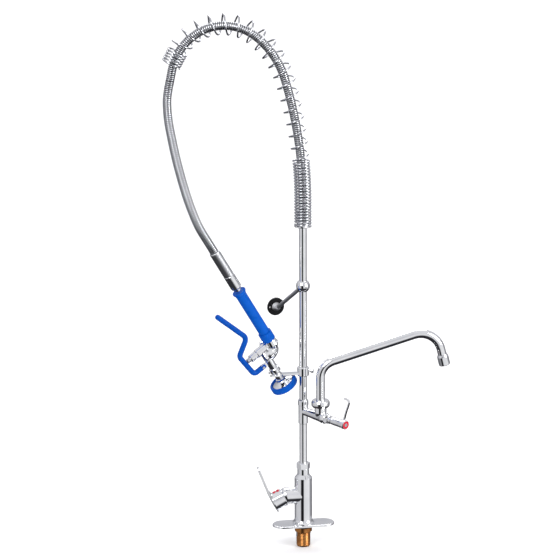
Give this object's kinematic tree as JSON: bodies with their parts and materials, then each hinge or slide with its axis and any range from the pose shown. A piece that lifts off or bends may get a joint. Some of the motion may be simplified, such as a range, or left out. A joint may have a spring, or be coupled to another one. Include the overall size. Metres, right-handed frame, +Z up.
{
  "type": "pre rinse faucet",
  "caption": "Deck-mounted pre-rinse faucet: mixer with lever, riser with swing spout, wall bracket and overhead spring, hose and spray valve hanging in a fork.",
  "frame": {"origin": "on the deck's surface, on the riser's axis", "axes": "+Z up along the riser, +X towards the swing spout's outlet at rest, -Y towards the user"},
  "size_m": [0.6525, 0.2903, 1.2773],
  "materials": {
    "chrome": "polished",
    "brass": "as cast and machined",
    "steel": "brushed",
    "stainless_hose": "fine ribs",
    "blue_grip": "smooth matte",
    "blue_coat": "satin coating",
    "blue_rubber": "smooth",
    "black": "satin",
    "rubber": "matte",
    "ceramic": "smooth",
    "red": "glossy",
    "grey_button": "satin"
  },
  "bodies": {
    "faucet": {"deck_plate": "chrome", "shank_washer": "rubber", "lock_nut": "brass", "jam_screws": "steel", "mounting_shank": "brass", "mixer_body": "chrome", "ceramic_cartridge": "ceramic", "cartridge_ring": "brass", "dome_cap": "chrome", "riser_nut": "chrome", "riser_seals": "rubber", "lower_riser": "chrome", "add_on_body": "chrome", "tee_nut": "chrome", "upper_riser": "chrome", "spout_nut": "chrome", "valve_cartridge": "chrome", "seat_seal": "rubber", "spray_holder": "chrome", "spring_collar": "chrome", "overhead_spring": "chrome", "hose_nut": "chrome", "spring_hose": "stainless_hose", "free_hose": "stainless_hose", "hose_ferrule": "stainless_hose", "swivel_sleeve": "chrome", "grip_tube": "chrome", "blue_grip": "blue_grip", "spray_valve_body": "chrome", "valve_bonnet": "chrome", "plunger_spring": "steel", "trigger_pin": "steel", "spray_neck": "chrome", "spray_dish": "chrome", "spray_plate": "steel", "bumper_ring": "blue_rubber", "face_screw": "steel"},
    "mixer_turret": {"cartridge_rotor": "steel", "rotor_pin": "steel"},
    "lever": {"cartridge_spindle": "steel", "mixer_lever": "chrome", "lever_set_screw": "steel", "lever_index": "red"},
    "spout": {"spout_stem": "brass", "spout_seals": "rubber", "swing_spout": "chrome", "aerator_housing": "chrome", "aerator_insert": "ceramic"},
    "add_on_lever": {"valve_spindle": "steel", "add_on_handle": "chrome", "handle_index": "red", "handle_screw": "grey_button"},
    "bracket": {"wall_collar": "chrome", "collar_screw": "steel", "bracket_rod": "steel", "wall_flange": "black"},
    "thumbscrew": {"holder_thumbscrew": "chrome"},
    "trigger": {"trigger_lever": "blue_coat"},
    "plunger": {"valve_plunger": "steel"}
  },
  "joints": [
    {"name": "mixer_turn", "type": "hinge", "parent": "faucet", "child": "mixer_turret", "pos_m": [-0.04, 0, 0.074], "axis": [1, 0, 0], "range_deg": [-45, 45]},
    {"name": "mixer_lift", "type": "hinge", "parent": "mixer_turret", "child": "lever", "pos_m": [-0.04, 0, 0.074], "axis": [0, 1, 0], "range_deg": [0, 22]},
    {"name": "spout_swivel", "type": "hinge", "parent": "faucet", "child": "spout", "pos_m": [0.03206, -0.05131, 0.2808], "axis": [0, 0, 1], "range_deg": [-110, 95]},
    {"name": "add_on_turn", "type": "hinge", "parent": "faucet", "child": "add_on_lever", "pos_m": [0, 0, 0.2808], "axis": [0.5299, -0.848, 0], "range_deg": [0, 90]},
    {"name": "bracket_swing", "type": "hinge", "parent": "faucet", "child": "bracket", "pos_m": [0, 0, 0.585], "axis": [0, 0, 1], "range_deg": [-45, 45]},
    {"name": "thumbscrew_turn", "type": "hinge", "parent": "faucet", "child": "thumbscrew", "pos_m": [0, 0, 0.3785], "axis": [1, 0, 0], "range_deg": [0, 180]},
    {"name": "trigger_squeeze", "type": "hinge", "parent": "faucet", "child": "trigger", "pos_m": [-0.09733, -0.01177, 0.39641], "axis": [-0.309, 0.9511, 0], "range_deg": [0, 12], "stiffness_Nm_per_rad": 8},
    {"name": "plunger_slide", "type": "slide", "parent": "faucet", "child": "plunger", "axis": [0.81, 0.2632, 0.524], "range_m": [0, 0.0086]}
  ],
  "couplings": [
    {"joint": "plunger_slide", "follows": "trigger_squeeze", "m_per_rad": 0.0374}
  ]
}
